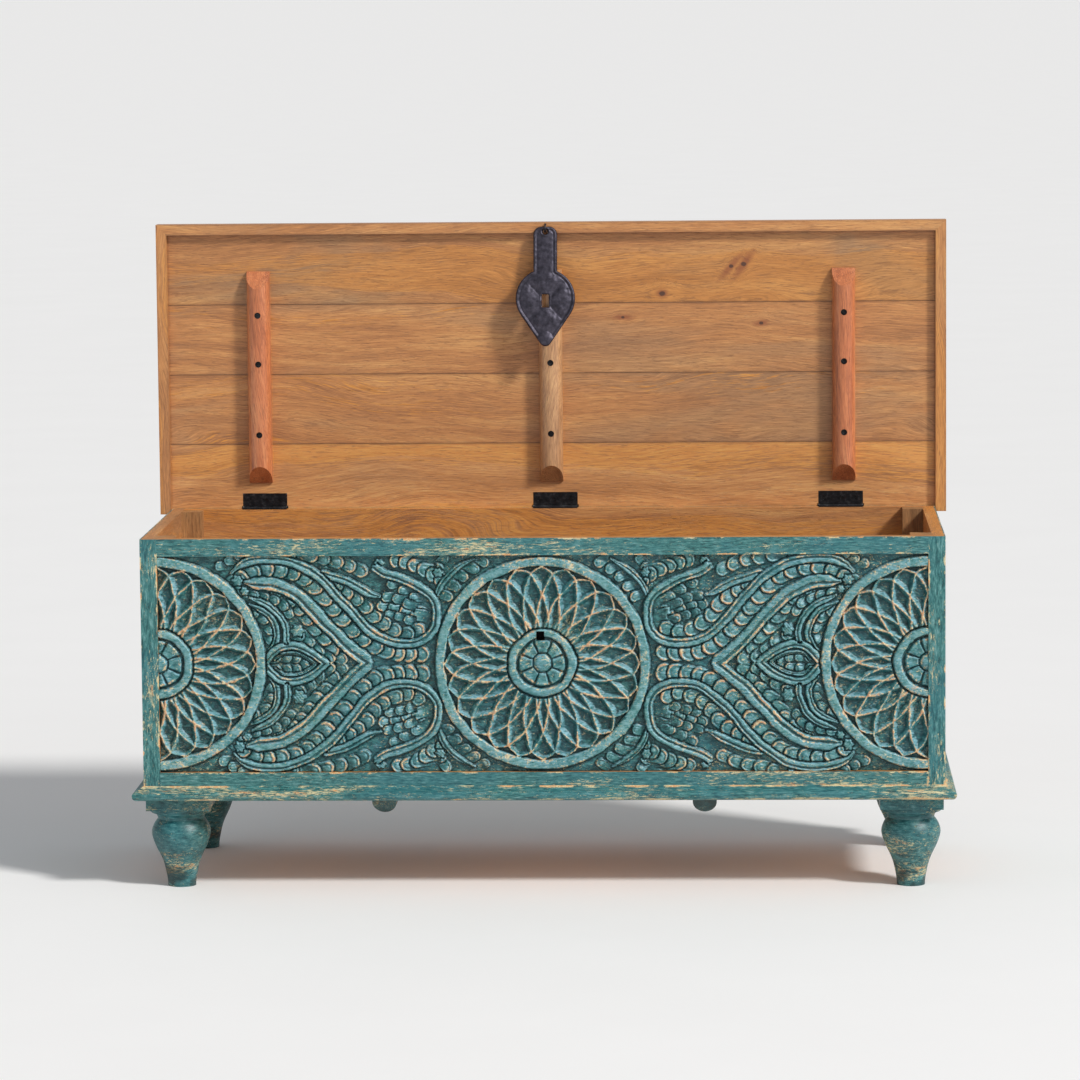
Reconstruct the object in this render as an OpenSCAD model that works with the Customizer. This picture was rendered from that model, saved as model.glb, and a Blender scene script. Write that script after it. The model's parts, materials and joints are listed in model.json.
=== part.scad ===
// Storage chest on four turned feet, with a plank lid that stands open on its overhang.
// +X is to the right, +Y to the back and +Z up. The origin is on the floor, under the middle
// of the whole chest with its lid open. Every lid piece is drawn shut and then swung open.

/* [Body] */
// Width over the two side walls
body_w = 1165; // [1000:5:1400]
// Depth from the front face to the back face
body_d = 417; // [380:1:480]
// Height of the rim above the floor
rim_h = 516; // [480:1:600]
// Thickness of the wall boards
wall_t = 19; // [17:1:22]
// Thickness of the floor boards
floor_t = 14; // [10:1:18]
// Side of the square corner posts
post_w = 31; // [25:1:40]

/* [Front frame] */
// Width of the two upright stiles
stile_w = 24.5; // [20:0.5:40]
// Height of the top rail
top_rail_h = 25; // [20:1:40]
// Height of the bottom rail, part of it behind the base moulding
bottom_rail_h = 40; // [36:1:50]
// How far the highest carving lies below the face of the frame
carving_set_back = 2; // [1:0.5:4]
// Depth of the carving from its highest point to its ground
carving_depth = 6; // [3:0.5:9]
// Outer radius of the rosettes
rosette_r = 156; // [130:1:158]
// Petals in each rosette
petals = 24; // [16:2:36]
// Width of the lock mortise
mortise_w = 11; // [6:0.5:14]
// Height of the lock mortise
mortise_h = 13; // [6:0.5:16]

/* [Base] */
// Height of the feet, block included
foot_h = 134; // [110:1:160]
// Side of the square block on top of each foot
block_w = 92; // [80:1:96]
// Thickness of that block
block_h = 17; // [8:0.5:18]
// How far the base moulding stands out
base_out = 16; // [12:0.5:20]
// Height of the bead along the bottom of the base moulding
bead_h = 14.5; // [10:0.5:18]
// Height of the base moulding
base_h = 20.5; // [16:0.5:30]
// Distance of each underside bearer from the middle
bearer_x = 234; // [150:1:350]

/* [Lid] */
// Thickness of the lid planks
lid_t = 18; // [15:1:22]
// Thickness of the edge mouldings of the lid
lid_edge_t = 16; // [12:1:20]
// How far the edge mouldings hang below the planks
lid_lip = 10; // [8:1:16]
// Play between the front face and the front edge moulding
lid_front_play = 2; // [1:0.5:4]
// How far the lid reaches past the back face
lid_overhang = 8; // [6:1:14]
// Dark gap between two planks
plank_gap = 0.6; // [0.2:0.1:1.5]
// Width of the battens
batten_w = 35; // [25:1:45]
// Depth of the battens
batten_t = 26; // [20:1:27]
// Length of the battens
batten_l = 323; // [250:1:330]
// Distance of the outer battens from the middle
batten_x = 445; // [300:1:480]

/* [Ironwork] */
// Length of each hinge
hinge_l = 68; // [50:2:90]
// Radius of the hinge knuckles
knuckle_r = 3.5; // [3:0.1:4.5]
// Radius of the hinge pins
pin_r = 1.5; // [1:0.1:1.8]
// Width of the strap of the hasp
hasp_w = 36; // [26:1:44]
// Radius of the round head of the hasp
hasp_r = 45; // [32:1:50]
// Angle at which the hasp leans out from upright, over the middle batten
hasp_tilt = 10; // [10:0.5:14]

/* [Hidden] */

teal = "#3f7f7d";
raw_wood = "#b58650";
red_wood = "#a5673c";
iron = "#2b2b2e";
hasp_iron = "#45434d";

// Height of the lid planks above the rim when shut, and their distance from the back wall when open
lid_gap = 0.4;
stop_gap = 0.3;

y_front = (base_out - body_d - stop_gap - lid_t) / 2;
y_back = y_front + body_d;
x_wall = body_w / 2;
board_h = (rim_h - foot_h) / 3;
field_w = body_w - 2 * stile_w;
field_z0 = foot_h + bottom_rail_h;
field_z1 = rim_h - top_rail_h;
field_z = (field_z0 + field_z1) / 2;

// The hinge line, and the lid as it lies shut
axis_y = y_back + stop_gap - lid_gap / 2;
axis_z = rim_h + lid_gap / 2;
under_z = rim_h + lid_gap;
lip_z = under_z - lid_lip;
lid_y0 = y_front - lid_front_play - lid_edge_t;
lid_y1 = y_back + lid_overhang;
lid_play = 1.5;
lid_x = x_wall + lid_play;
plank_d = (lid_y1 - lid_y0 - lid_edge_t) / 4;

// Hinges
hinge_x = [-440, 5, 440];
leaf_t = 2;
body_leaf_d = 17;
lid_leaf_d = 23;
knuckle_play = 0.3;
relief_r = knuckle_r + 0.4;
pin_head = 1;
screw_step = 24;

// Battens: distance of their near end and of their screws from the hinge line
batten_y = 40;
batten_bevel = 26;
batten_screw_y = [114.5, 222.5, 297];
bearer_t = 27;
bearer_inset = 25;

// Hasp, measured down the plate from the middle of its ring
ring_r = 6;
wire_r = 1.2;
ring_x = -6.5;
ring_drop = 3;
hasp_top = -2;
hasp_head = 107;
hasp_slot = 111;
hasp_tip = 180;
hasp_tip_r = 9;
hasp_t = 3;
slot_w = 11;
slot_h = 20;
hasp_hole_r = 4;
ring_y = lid_y0 + 8.5;
ring_z = lip_z - ring_drop;

// Outline of a foot: radius and height up a foot 134 high, from the floor to the neck
foot_curve = [[20.4, 0], [21.6, 13], [27.4, 37.5], [38.4, 61.5], [43.2, 79], [39.6, 92], [34, 100]];
foot_full = 134;
eps = 0.01;

// Point at t from 0 to 1 on a smooth curve between b and c
function curve(a, b, c, d, t) =
  0.5 * (2 * b + (c - a) * t + (2 * a - 5 * b + 4 * c - d) * t * t
    + (3 * b - a - 3 * c + d) * t * t * t);
function clamp_at(list, i) = list[min(max(i, 0), len(list) - 1)];
function smooth(list, steps) = [
  for (i = [0:len(list) - 2], s = [0:steps - 1])
    curve(clamp_at(list, i - 1), list[i], list[i + 1], clamp_at(list, i + 2), s / steps)
];
// Where a point of the shut lid is when the lid stands open
function opened(y, z) = [axis_y + z - axis_z, axis_z - y + axis_y];

module block(x, y, z) {
  translate([x[0], y[0], z[0]])
    cube([x[1] - x[0], y[1] - y[0], z[1] - z[0]]);
}

module lid_open() {
  translate([0, axis_y, axis_z])
    rotate([-90, 0, 0])
      translate([0, -axis_y, -axis_z])
        children();
}

// A rod along X, centred on the hinge line
module on_axis(x, r, length) {
  translate([x - length / 2, axis_y, axis_z])
    rotate([0, 90, 0])
      cylinder(r = r, h = length, $fn = 48);
}

module at_hinges() {
  for (x = hinge_x)
    translate([x, 0, 0])
      children();
}

// ---- Front frame and panel ----

module stile(side) {
  outer = side * x_wall;
  inner = side * field_w / 2;
  color(teal)
    block([min(outer, inner), max(outer, inner)], [y_front, y_front + wall_t], [foot_h, rim_h]);
}

module front_rail(z0, z1) {
  color(teal)
    block([-field_w / 2, field_w / 2], [y_front, y_front + wall_t], [z0, z1]);
}

// Star of pointed petals, as an outline
module petal_star(tip_r, valley_r) {
  half = 180 / petals;
  polygon([
    for (i = [0:2 * petals - 1])
      let (r = i % 2 == 0 ? tip_r : valley_r)
        [r * cos(i * half), r * sin(i * half)]
  ]);
}

// A raised ring with a rounded top
module ring_bead(r, width, height) {
  rotate_extrude($fn = 96)
    translate([r - width / 2, 0]) {
      translate([-width / 2, 0])
        square([width, height - width / 4]);
      intersection() {
        translate([0, height - width * 0.625])
          circle(r = width * 0.625, $fn = 48);
        translate([-width / 2, 0])
          square([width, height]);
      }
    }
}

// A rosette standing on the ground of the carving
module rosette() {
  rise = carving_depth;
  ring_bead(rosette_r, 16, rise);
  linear_extrude(rise * 0.4)
    petal_star(rosette_r * 0.9, rosette_r * 0.72);
  linear_extrude(rise * 0.7)
    petal_star(rosette_r * 0.62, rosette_r * 0.42);
  ring_bead(50, 12, rise);
  cylinder(r1 = 14, r2 = 10, h = rise, $fn = 48);
}

module front_carved_panel() {
  ground = y_front + carving_set_back + carving_depth;
  color(teal)
    difference() {
      union() {
        block([-field_w / 2, field_w / 2], [ground, y_front + wall_t], [field_z0, field_z1]);
        intersection() {
          for (x = [-field_w / 2, 0, field_w / 2])
            translate([x, ground, field_z])
              rotate([90, 0, 0])
                rosette();
          block([-field_w / 2, field_w / 2], [y_front, y_front + wall_t], [field_z0, field_z1]);
        }
      }
      translate([-2.5 - mortise_w / 2, y_front - 1, field_z + 40.5 - mortise_h / 2])
        cube([mortise_w, wall_t + 2, mortise_h]);
    }
}

// ---- Walls, posts and floor ----

module side_board(side, level) {
  outer = side * x_wall;
  inner = side * (x_wall - wall_t);
  z0 = foot_h + level * board_h;
  color(teal)
    block([min(outer, inner), max(outer, inner)], [y_front + wall_t, y_back], [z0, z0 + board_h]);
}

module back_board(level) {
  z0 = foot_h + level * board_h;
  inner = x_wall - wall_t;
  color(teal)
    difference() {
      block([-inner, inner], [y_back - wall_t, y_back], [z0, z0 + board_h]);
      if (level == 2)
        at_hinges() {
          block([-hinge_l / 2, hinge_l / 2], [axis_y - body_leaf_d, y_back + 1],
            [rim_h - leaf_t, rim_h + 1]);
          on_axis(0, relief_r, hinge_l + 2 * pin_head + 1);
        }
    }
}

module post(side_x, side_y) {
  x = side_x * (x_wall - wall_t - post_w / 2);
  y = side_y < 0 ? y_front + wall_t + post_w / 2 : y_back - wall_t - post_w / 2;
  color(raw_wood)
    block([x - post_w / 2, x + post_w / 2], [y - post_w / 2, y + post_w / 2],
      [foot_h + floor_t, rim_h]);
}

module floor_board(i) {
  inner = x_wall - wall_t;
  d = (body_d - 2 * wall_t) / 4;
  y0 = y_front + wall_t + i * d;
  color(raw_wood)
    block([-inner, inner], [y0, y0 + d], [foot_h, foot_h + floor_t]);
}

// ---- Base ----

// Bead below, slope up to the wall above, drawn outwards from the wall
module base_profile() {
  square([base_out - bead_h / 2, bead_h]);
  translate([base_out - bead_h / 2, bead_h / 2])
    circle(d = bead_h, $fn = 48);
  polygon([[0, bead_h - eps], [base_out - bead_h / 2, bead_h - eps], [0, base_h]]);
}

module base_moulding(side) {
  out = x_wall + base_out;
  front = y_front - base_out;
  plan = side == 0
    ? [[-x_wall, y_front], [-out, front], [out, front], [x_wall, y_front]]
    : [[side * x_wall, y_front], [side * out, front], [side * out, y_back], [side * x_wall, y_back]];
  color(teal)
    intersection() {
      if (side == 0)
        translate([-out, y_front, foot_h])
          rotate([90, 0, 90])
            mirror([1, 0, 0])
              linear_extrude(2 * out)
                base_profile();
      else
        translate([side * x_wall, side < 0 ? front : y_back, foot_h])
          rotate([90, 0, side < 0 ? 180 : 0])
            linear_extrude(y_back - front)
              base_profile();
      translate([0, 0, foot_h])
        linear_extrude(base_h)
          polygon(plan);
    }
}

// A bar along Y with a rounded face down and both ends bevelled, its flat side at z = 0
module rounded_bar(width, depth, length, bevel) {
  flat = depth - width / 2;
  intersection() {
    translate([0, length, 0])
      rotate([90, 0, 0])
        linear_extrude(length) {
          translate([-width / 2, -flat])
            square([width, flat]);
          translate([0, -flat])
            intersection() {
              circle(r = width / 2, $fn = 64);
              translate([-width / 2, -width / 2])
                square([width, width / 2 + eps]);
            }
        }
    rotate([90, 0, 90])
      translate([0, 0, -width])
        linear_extrude(2 * width)
          polygon([[0, 0], [length, 0], [length, -4], [length - bevel, -depth], [bevel, -depth], [0, -4]]);
  }
}

module bearer(side) {
  color(teal)
    translate([side * bearer_x, y_front + bearer_inset, foot_h])
      rounded_bar(batten_w, bearer_t, body_d - 2 * bearer_inset, batten_bevel);
}

module foot(side_x, side_y) {
  centre = block_w / 2 + 2.3;
  flare_r = 44;
  flare_z = 110;
  stretch = foot_h / foot_full;
  turned = [for (p = smooth(foot_curve, 4)) [p[0], p[1] * stretch]];
  flare = [for (a = [0:15:90]) [34 + (flare_r - 34) * (1 - cos(a)), (100 + (flare_z - 100) * sin(a)) * stretch]];
  color(teal)
    translate([side_x * (x_wall - centre), side_y < 0 ? y_front + centre : y_back - centre, 0]) {
      rotate_extrude($fn = 96)
        polygon(concat([[0, 0]], turned, flare,
          [[flare_r, foot_h - block_h + eps], [0, foot_h - block_h + eps]]));
      translate([-block_w / 2, -block_w / 2, foot_h - block_h])
        cube([block_w, block_w, block_h]);
    }
}

// ---- Lid ----

module lid_plank(i) {
  far = lid_y0 + lid_edge_t;
  y1 = lid_y1 - i * plank_d;
  y0 = i == 3 ? far : y1 - plank_d + plank_gap;
  color(raw_wood)
    lid_open()
      difference() {
        block([-lid_x, lid_x], [y0, y1], [under_z, under_z + lid_t]);
        if (i == 0)
          at_hinges() {
            block([-hinge_l / 2, hinge_l / 2], [axis_y - lid_leaf_d, axis_y], [under_z - 1, under_z + leaf_t]);
            on_axis(0, relief_r, hinge_l + 2 * pin_head + 1);
          }
      }
}

module ring_shape(r, wire) {
  rotate([0, 90, 0])
    rotate_extrude($fn = 64)
      translate([r, 0])
        circle(r = wire, $fn = 24);
}

module lid_moulding(side) {
  in = lid_x;
  out = lid_x + lid_edge_t;
  inner_y = lid_y0 + lid_edge_t;
  plan = side == 0
    ? [[-in, inner_y], [-out, lid_y0], [out, lid_y0], [in, inner_y]]
    : [[side * in, inner_y], [side * out, lid_y0], [side * out, lid_y1], [side * in, lid_y1]];
  color(raw_wood)
    lid_open()
      difference() {
        translate([0, 0, lip_z])
          linear_extrude(lid_lip + lid_t)
            polygon(plan);
        if (side == 0)
          translate([ring_x, ring_y, ring_z])
            ring_shape(ring_r, wire_r + 0.4);
      }
}

module lid_batten(side) {
  head_r = 4.8;
  color(side == 0 ? raw_wood : red_wood)
    lid_open()
      difference() {
        translate([side * batten_x, axis_y - batten_y - batten_l, under_z])
          rounded_bar(batten_w, batten_t, batten_l, batten_bevel);
        for (d = batten_screw_y)
          translate([side * batten_x, axis_y - d, under_z - batten_t - 1]) {
            cylinder(r = head_r, h = 6, $fn = 32);
            cylinder(r = 2.6, h = batten_t + 2, $fn = 32);
          }
      }
}

// ---- Ironwork ----

// A countersunk screw hole through a leaf lying on z = 0, head side up
module countersink() {
  translate([0, 0, -1])
    cylinder(r = 2.1, h = leaf_t + 2, $fn = 32);
  cylinder(r1 = 2.1, r2 = 4.1, h = leaf_t, $fn = 32);
  translate([0, 0, leaf_t - eps])
    cylinder(r = 4.1, h = 1, $fn = 32);
}

// A countersunk slotted screw, its head flush with z = 0 and its shank down
module leaf_screw() {
  difference() {
    union() {
      translate([0, 0, -leaf_t + 0.05])
        cylinder(r1 = 2, r2 = 3.9, h = leaf_t - 0.1, $fn = 32);
      translate([0, 0, -14])
        cylinder(r = 2, h = 14 - leaf_t + 0.1, $fn = 32);
    }
    translate([-5, -0.5, -0.9])
      cube([10, 1, 2]);
  }
}

module body_leaf(i) {
  third = hinge_l / 3;
  reach = knuckle_r + knuckle_play;
  color(iron)
    translate([hinge_x[i], 0, 0])
      difference() {
        union() {
          block([-hinge_l / 2, hinge_l / 2], [axis_y - body_leaf_d, axis_y], [rim_h - leaf_t, rim_h]);
          for (s = [-1, 1])
            on_axis(s * third, knuckle_r, third);
        }
        on_axis(0, reach, third + 2 * knuckle_play);
        on_axis(0, pin_r + 0.05, hinge_l + 2);
        for (s = [-1:1])
          translate([s * screw_step, axis_y - body_leaf_d / 2 - 1, rim_h - leaf_t])
            countersink();
      }
}

module lid_leaf(i) {
  third = hinge_l / 3;
  reach = knuckle_r + knuckle_play;
  color(iron)
    lid_open()
      translate([hinge_x[i], 0, 0])
        difference() {
          union() {
            block([-hinge_l / 2, hinge_l / 2], [axis_y - lid_leaf_d, axis_y], [under_z, under_z + leaf_t]);
            on_axis(0, knuckle_r, third);
          }
          for (s = [-1, 1])
            on_axis(s * (third + 1), reach, third + 2);
          on_axis(0, pin_r + 0.05, hinge_l + 2);
          for (s = [-1:1])
            translate([s * screw_step, axis_y - lid_leaf_d / 2 - 1, under_z + leaf_t])
              rotate([180, 0, 0])
                countersink();
        }
}

module hinge_pin(i) {
  color(iron)
    translate([hinge_x[i], 0, 0]) {
      on_axis(0, pin_r, hinge_l + 1);
      for (s = [-1, 1])
        on_axis(s * (hinge_l + pin_head) / 2, pin_r + 1, pin_head);
    }
}

module body_hinge_screws() {
  color(iron)
    at_hinges()
      for (s = [-1:1])
        translate([s * screw_step, axis_y - body_leaf_d / 2 - 1, rim_h])
          rotate([0, 0, 35 * s])
            leaf_screw();
}

module lid_hinge_screws() {
  color(iron)
    lid_open()
      at_hinges()
        for (s = [-1:1])
          translate([s * screw_step, axis_y - lid_leaf_d / 2 - 1, under_z])
            rotate([180, 0, 50 * s])
              leaf_screw();
}

module batten_screws() {
  sunk = 1.5;
  head_end = 5;
  color(iron)
    lid_open()
      for (side = [-1:1], d = batten_screw_y)
        translate([side * batten_x, axis_y - d, under_z - batten_t])
          difference() {
            union() {
              translate([0, 0, sunk])
                cylinder(r = 4.4, h = head_end - sunk, $fn = 32);
              translate([0, 0, head_end - eps])
                cylinder(r = 2.5, h = batten_t + 10 - head_end, $fn = 32);
            }
            translate([-6, -0.6, sunk - 1])
              cube([12, 1.2, 2.5]);
          }
}

module hasp_ring() {
  color(hasp_iron)
    lid_open()
      translate([ring_x, ring_y, ring_z])
        ring_shape(ring_r, wire_r);
}

// Flat outline of the hasp, hanging down from the middle of its ring
module hasp_outline() {
  corner = 12;
  tip = hasp_tip - hasp_tip_r;
  lean = asin((hasp_r - hasp_tip_r) / (tip - hasp_head));
  shoulder = acos(hasp_w / 2 / hasp_r);
  right_side = concat(
    [for (a = [90:-15:0]) [hasp_w / 2 - corner + corner * cos(a), -hasp_top - corner + corner * sin(a)]],
    [for (i = [0:16]) let (a = shoulder - i * (shoulder + lean) / 16) [hasp_r * cos(a), hasp_r * sin(a) - hasp_head]],
    [for (i = [0:4]) let (a = -lean - i * (90 - lean) / 4) [hasp_tip_r * cos(a), hasp_tip_r * sin(a) - tip]]
  );
  last = len(right_side) - 1;
  difference() {
    polygon(concat(right_side, [for (i = [last - 1:-1:0]) [-right_side[i][0], right_side[i][1]]]));
    translate([0, -ring_r])
      circle(r = hasp_hole_r, $fn = 48);
    translate([-slot_w / 2, -hasp_slot - slot_h / 2])
      square([slot_w, slot_h]);
  }
}

module hasp() {
  hang = opened(ring_y, ring_z);
  color(hasp_iron)
    translate([ring_x, hang[0], hang[1]])
      rotate([90 - hasp_tilt, 0, 0])
        linear_extrude(hasp_t, center = true)
          hasp_outline();
}

stile(-1);  // front_left_stile
stile(1);  // front_right_stile
front_rail(field_z1, rim_h);  // front_top_rail
front_rail(foot_h, field_z0);  // front_bottom_rail
front_carved_panel();
side_board(-1, 0);  // left_board_lower
side_board(-1, 1);  // left_board_middle
side_board(-1, 2);  // left_board_upper
side_board(1, 0);  // right_board_lower
side_board(1, 1);  // right_board_middle
side_board(1, 2);  // right_board_upper
back_board(0);  // back_board_lower
back_board(1);  // back_board_middle
back_board(2);  // back_board_upper
post(-1, -1);  // post_front_left
post(1, -1);  // post_front_right
post(-1, 1);  // post_back_left
post(1, 1);  // post_back_right
floor_board(0);  // floor_board_1
floor_board(1);  // floor_board_2
floor_board(2);  // floor_board_3
floor_board(3);  // floor_board_4
base_moulding(0);  // base_moulding_front
base_moulding(-1);  // base_moulding_left
base_moulding(1);  // base_moulding_right
bearer(-1);  // bearer_left
bearer(1);  // bearer_right
foot(-1, -1);  // foot_front_left
foot(1, -1);  // foot_front_right
foot(-1, 1);  // foot_back_left
foot(1, 1);  // foot_back_right
body_leaf(0);  // body_leaf_left
body_leaf(1);  // body_leaf_centre
body_leaf(2);  // body_leaf_right
hinge_pin(0);  // hinge_pin_left
hinge_pin(1);  // hinge_pin_centre
hinge_pin(2);  // hinge_pin_right
body_hinge_screws();
lid_plank(0);  // lid_plank_1
lid_plank(1);  // lid_plank_2
lid_plank(2);  // lid_plank_3
lid_plank(3);  // lid_plank_4
lid_moulding(0);  // lid_moulding_front
lid_moulding(-1);  // lid_moulding_left
lid_moulding(1);  // lid_moulding_right
lid_batten(-1);  // lid_batten_left
lid_batten(0);  // lid_batten_centre
lid_batten(1);  // lid_batten_right
lid_leaf(0);  // lid_leaf_left
lid_leaf(1);  // lid_leaf_centre
lid_leaf(2);  // lid_leaf_right
lid_hinge_screws();
batten_screws();
hasp_ring();
hasp();
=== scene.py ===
"""Looks of the storage chest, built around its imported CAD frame. Metres, +X right, +Y back, +Z up."""

import json
import math

import bpy
import numpy as np
from mathutils import Euler, Matrix, Vector
from mathutils.geometry import delaunay_2d_cdt


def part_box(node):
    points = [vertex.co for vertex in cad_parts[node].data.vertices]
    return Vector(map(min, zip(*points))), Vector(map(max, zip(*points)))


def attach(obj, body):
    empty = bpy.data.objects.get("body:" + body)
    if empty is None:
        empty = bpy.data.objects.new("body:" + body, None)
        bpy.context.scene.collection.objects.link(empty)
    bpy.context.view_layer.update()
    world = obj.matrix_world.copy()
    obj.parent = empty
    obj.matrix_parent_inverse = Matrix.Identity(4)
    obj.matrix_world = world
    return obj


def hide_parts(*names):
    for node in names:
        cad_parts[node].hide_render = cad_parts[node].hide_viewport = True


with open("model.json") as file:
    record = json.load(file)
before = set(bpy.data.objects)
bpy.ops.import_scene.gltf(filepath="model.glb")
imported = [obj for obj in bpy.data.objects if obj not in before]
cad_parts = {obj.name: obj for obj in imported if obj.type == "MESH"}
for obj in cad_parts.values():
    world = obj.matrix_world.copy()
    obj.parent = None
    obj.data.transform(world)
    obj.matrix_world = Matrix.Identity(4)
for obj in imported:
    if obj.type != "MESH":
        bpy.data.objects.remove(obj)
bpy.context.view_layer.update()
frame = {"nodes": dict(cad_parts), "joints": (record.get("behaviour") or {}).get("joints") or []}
nodes = frame["nodes"]
mm = 0.001

# ---- Places taken from the frame ----

panel_low, panel_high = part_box("front_carved_panel")
WALL_X = -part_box("front_left_stile")[0].x
FRONT_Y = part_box("front_top_rail")[0].y
BACK_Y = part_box("back_board_upper")[1].y

# The carved field, and the mortise of the lock in it, in millimetres from the field's centre
field_centre = ((panel_low.x + panel_high.x) / 2, (panel_low.z + panel_high.z) / 2)
half_u = (panel_high.x - panel_low.x) / 2 / mm
half_v = (panel_high.z - panel_low.z) / 2 / mm
MORTISE_CENTRE = (-2.5, 40.5)
MORTISE_SIZE = (11.0, 13.0)
MORTISE_X = field_centre[0] + MORTISE_CENTRE[0] * mm
MORTISE_Z = field_centre[1] + MORTISE_CENTRE[1] * mm
MORTISE_W = MORTISE_SIZE[0] * mm
MORTISE_H = MORTISE_SIZE[1] * mm


def srgb(r, g, b):
    """A colour given as it looks on a screen, 0 to 255, as linear light."""
    linear = [(c / 255 / 12.92) if c <= 10 else ((c / 255 + 0.055) / 1.055) ** 2.4 for c in (r, g, b)]
    return (*linear, 1.0)


# ---- Node building ----


class Tree:
    """The node tree of one material, built one node a call. A call returns the socket that it makes."""

    def __init__(self, name):
        self.material = bpy.data.materials.new(name)
        self.material.use_nodes = True
        self.tree = self.material.node_tree
        self.shader = self.tree.nodes["Principled BSDF"]
        self.place = self.node("ShaderNodeTexCoord", {}).outputs["Object"]

    def feed(self, socket, value):
        if isinstance(value, bpy.types.NodeSocket):
            self.tree.links.new(value, socket)
        else:
            socket.default_value = value

    def node(self, kind, inputs, **settings):
        """A new node. Its inputs, by name or number, get a value or a link."""
        made = self.tree.nodes.new(kind)
        for key, value in settings.items():
            setattr(made, key, value)
        for key, value in inputs.items():
            self.feed(made.inputs[key], value)
        return made

    def math(self, operation, a, b=0.0):
        return self.node("ShaderNodeMath", {0: a, 1: b}, operation=operation).outputs[0]

    def plus(self, a, b):
        return self.math("ADD", a, b)

    def minus(self, a, b):
        return self.math("SUBTRACT", a, b)

    def times(self, a, b):
        return self.math("MULTIPLY", a, b)

    def larger(self, a, b):
        return self.math("MAXIMUM", a, b)

    def smaller(self, a, b):
        return self.math("MINIMUM", a, b)

    def size(self, a):
        return self.math("ABSOLUTE", a)

    def flip(self, a):
        """1 less a value."""
        return self.minus(1.0, a)

    def swing(self, noise, amount):
        """A noise about 0 instead of 0.5, made stronger or weaker."""
        return self.times(self.minus(noise, 0.5), amount)

    def step(self, value, low, high):
        """0 below low, 1 above high, smooth between."""
        limits = {"Value": value, "From Min": low, "From Max": high}
        return self.node("ShaderNodeMapRange", limits, interpolation_type="SMOOTHSTEP").outputs["Result"]

    def mix(self, factor, a, b, blend="MIX"):
        inputs = {"Factor": factor, 6: a, 7: b}
        return self.node("ShaderNodeMix", inputs, data_type="RGBA", blend_type=blend).outputs[2]

    def ramp(self, value, *stops):
        made = self.node("ShaderNodeValToRGB", {"Fac": value})
        ramp = made.color_ramp
        while len(ramp.elements) < len(stops):
            ramp.elements.new(0.5)
        for element, (at, colour) in zip(ramp.elements, stops):
            element.position = at
            element.color = colour
        return made.outputs["Color"]

    def scaled(self, vector, factors, shift=(0, 0, 0)):
        inputs = {"Vector": vector, "Scale": factors, "Location": shift}
        return self.node("ShaderNodeMapping", inputs).outputs["Vector"]

    def noise(self, vector, scale, detail=4.0, roughness=0.55, distortion=0.0):
        inputs = {"Vector": vector, "Scale": scale, "Detail": detail, "Roughness": roughness,
                  "Distortion": distortion}
        return self.node("ShaderNodeTexNoise", inputs).outputs["Fac"]

    def split(self, vector):
        return tuple(self.node("ShaderNodeSeparateXYZ", {0: vector}).outputs)

    def join(self, x, y, z):
        return self.node("ShaderNodeCombineXYZ", {0: x, 1: y, 2: z}).outputs[0]

    def attribute(self, name):
        return self.node("ShaderNodeAttribute", {}, attribute_name=name).outputs["Fac"]

    def bump(self, height, distance):
        made = self.node("ShaderNodeBump", {"Height": height, "Distance": distance, "Strength": 1.0})
        self.feed(self.shader.inputs["Normal"], made.outputs["Normal"])

    def finish(self, colour, roughness, **fixed):
        """Feeds colour and roughness, and sets the values that are the same all over on the shader itself."""
        self.feed(self.shader.inputs["Base Color"], colour)
        self.feed(self.shader.inputs["Roughness"], roughness)
        for name, value in fixed.items():
            self.shader.inputs[name.replace("_", " ")].default_value = value
        return self.material


def edge_distance(t, low, high):
    """How far a place on the surface of a box is from the nearest edge of the box, in metres."""
    gaps = []
    for value, a, b in zip(t.split(t.place), low, high):
        gaps.append(t.smaller(t.size(t.minus(value, a)), t.size(t.minus(value, b))))
    smaller = t.smaller(gaps[0], gaps[1])
    larger = t.larger(gaps[0], gaps[1])
    return t.larger(smaller, t.smaller(larger, gaps[2]))


# ---- Bare wood ----



def wood_tones(**shades):
    """The colours of a kind of wood, by name, from colours as they look on a screen."""
    return {name: srgb(*shade) for name, shade in shades.items()}


# Which of X, Y and Z run along the grain, across it and into the board
GRAIN_ORDER = {"x": (0, 2, 1), "y": (1, 2, 0), "z": (2, 0, 1)}
MANGO = wood_tones(pale=(208, 154, 98), mid=(190, 133, 82), dark=(164, 112, 70),
                   line=(130, 86, 54), orange=(218, 146, 58), grey=(162, 130, 98))
DEEP_MANGO = wood_tones(pale=(196, 144, 90), mid=(178, 124, 76), dark=(154, 104, 64),
                        line=(120, 78, 48), orange=(206, 138, 56), grey=(152, 122, 92))
LIGHT_MANGO = wood_tones(pale=(218, 166, 110), mid=(202, 146, 94), dark=(178, 126, 80),
                         line=(144, 98, 64), orange=(222, 154, 72), grey=(174, 142, 108))
RED = wood_tones(pale=(222, 152, 108), mid=(198, 122, 82), dark=(156, 88, 58),
                 line=(112, 58, 36), orange=(206, 122, 70), grey=(160, 106, 76))
TAN = wood_tones(pale=(216, 170, 124), mid=(190, 144, 104), dark=(154, 112, 78),
                 line=(118, 80, 52), orange=(200, 142, 90), grey=(160, 130, 100))
POST = wood_tones(pale=(196, 150, 100), mid=(168, 122, 78), dark=(132, 92, 56),
                  line=(104, 70, 42), orange=(186, 130, 74), grey=(146, 118, 86))
# Light and dark of the fine figure and of the fibres, laid over the colour of the wood
FINE_SHADES = ((0.30, (0.30, 0.27, 0.22, 1)), (0.70, (0.72, 0.70, 0.66, 1)))
FIBRE_SHADES = ((0.25, (0.24, 0.21, 0.17, 1)), (0.75, (0.76, 0.74, 0.70, 1)))
KNOT_CORE = srgb(74, 46, 34)
KNOT_STAIN = srgb(140, 76, 44)


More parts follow.
